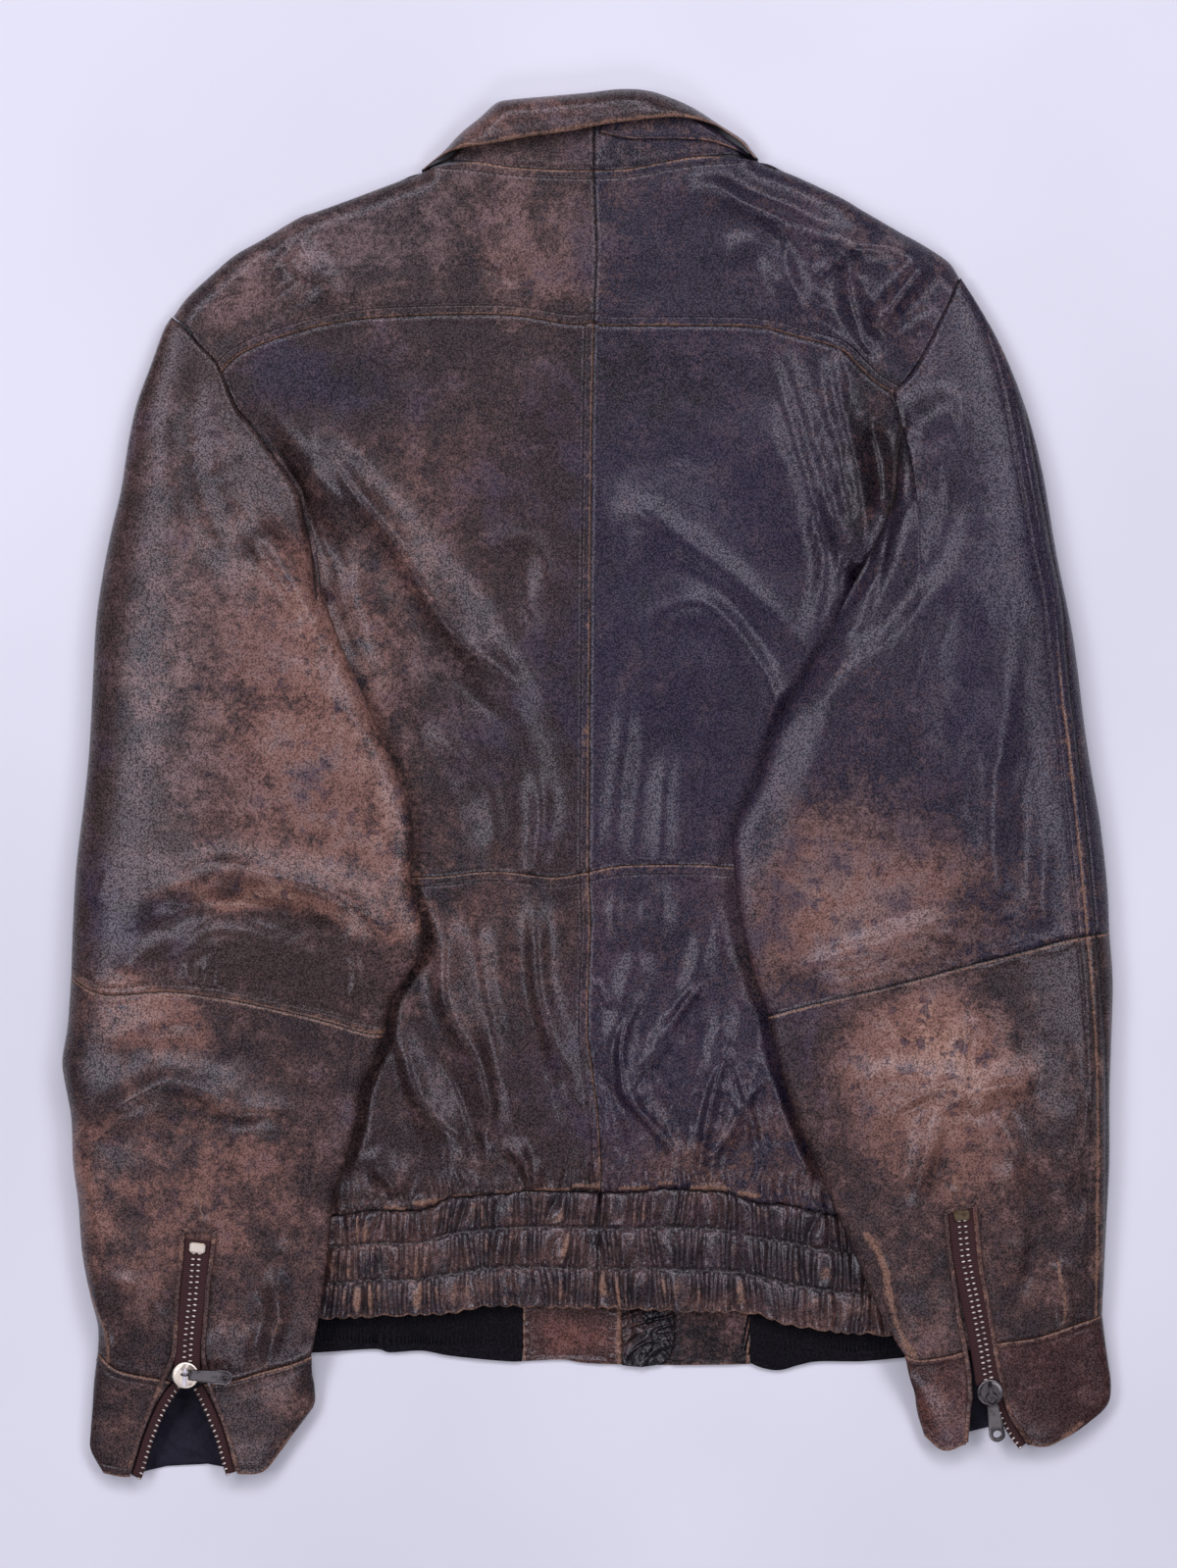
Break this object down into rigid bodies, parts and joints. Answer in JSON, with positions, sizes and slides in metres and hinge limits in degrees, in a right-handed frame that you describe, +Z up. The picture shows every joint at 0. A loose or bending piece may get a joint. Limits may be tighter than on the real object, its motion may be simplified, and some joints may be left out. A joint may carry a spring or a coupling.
{
  "type": "worn leather jacket",
  "caption": "Worn leather blouson laid flat on its front, back uppermost, with sleeves folded down, shirred waistband, knit hem and zipped cuffs.",
  "frame": {"origin": "on the surface the jacket lies on, under the middle of its laid-out outline", "axes": "+Z up, square to the surface and away from the jacket's back; +Y from the hem to the collar; +X to the jacket's right side as seen from above, which is the wearer's right"},
  "size_m": [0.5901, 0.7819, 0.041],
  "materials": {
    "leather_grey_brown": "worn, crinkled",
    "leather_blue_black": "worn, satin",
    "leather_brown": "worn, satin",
    "leather_rust": "worn, rubbed to the hide",
    "leather_black": "glossy, crinkled",
    "rib_knit": "ribbed knit",
    "zip_tape": "woven twill",
    "antique_brass": "aged, rubbed",
    "gunmetal": "dark, rubbed"
  },
  "bodies": {
    "jacket": {"back_yoke_left": "leather_grey_brown", "back_yoke_right": "leather_blue_black", "back_upper_left": "leather_brown", "back_upper_right": "leather_blue_black", "back_lower_left": "leather_brown", "back_lower_right": "leather_blue_black", "waistband_left": "leather_brown", "waistband_right": "leather_brown", "front_left": "leather_brown", "front_right": "leather_brown", "knit_band_left": "rib_knit", "knit_band_right": "rib_knit", "band_tab_brown": "leather_rust", "band_tab_dark": "leather_grey_brown", "front_guard": "leather_black", "collar_fall": "leather_grey_brown", "under_collar": "leather_blue_black", "collar_stand_left": "leather_brown", "collar_stand_right": "leather_blue_black", "sleeve_upper_left": "leather_rust", "sleeve_upper_right": "leather_blue_black", "sleeve_lower_left": "leather_brown", "sleeve_lower_right": "leather_brown", "cuff_left": "leather_brown", "cuff_right": "leather_rust", "zip_tape_left": "zip_tape", "zip_tape_right": "zip_tape", "zip_flap_left_outer": "zip_tape", "zip_flap_left_inner": "zip_tape", "zip_flap_right_outer": "zip_tape", "zip_stop_left": "antique_brass", "zip_stop_right": "antique_brass", "zip_slider_left": "antique_brass", "zip_slider_right": "gunmetal"},
    "pull_left": {"zip_pull_left": "gunmetal"},
    "pull_right": {"zip_pull_right": "gunmetal"}
  },
  "joints": [
    {"name": "pull_left_swing", "type": "hinge", "parent": "jacket", "child": "pull_left", "pos_m": [-0.22385, -0.33068, 0.03039], "axis": [-0.0622, -0.9905, -0.1228], "range_deg": [0, 150]},
    {"name": "pull_right_swing", "type": "hinge", "parent": "jacket", "child": "pull_right", "pos_m": [0.22615, -0.34306, 0.02314], "axis": [-0.9853, -0.171, 0], "range_deg": [0, 125]}
  ]
}
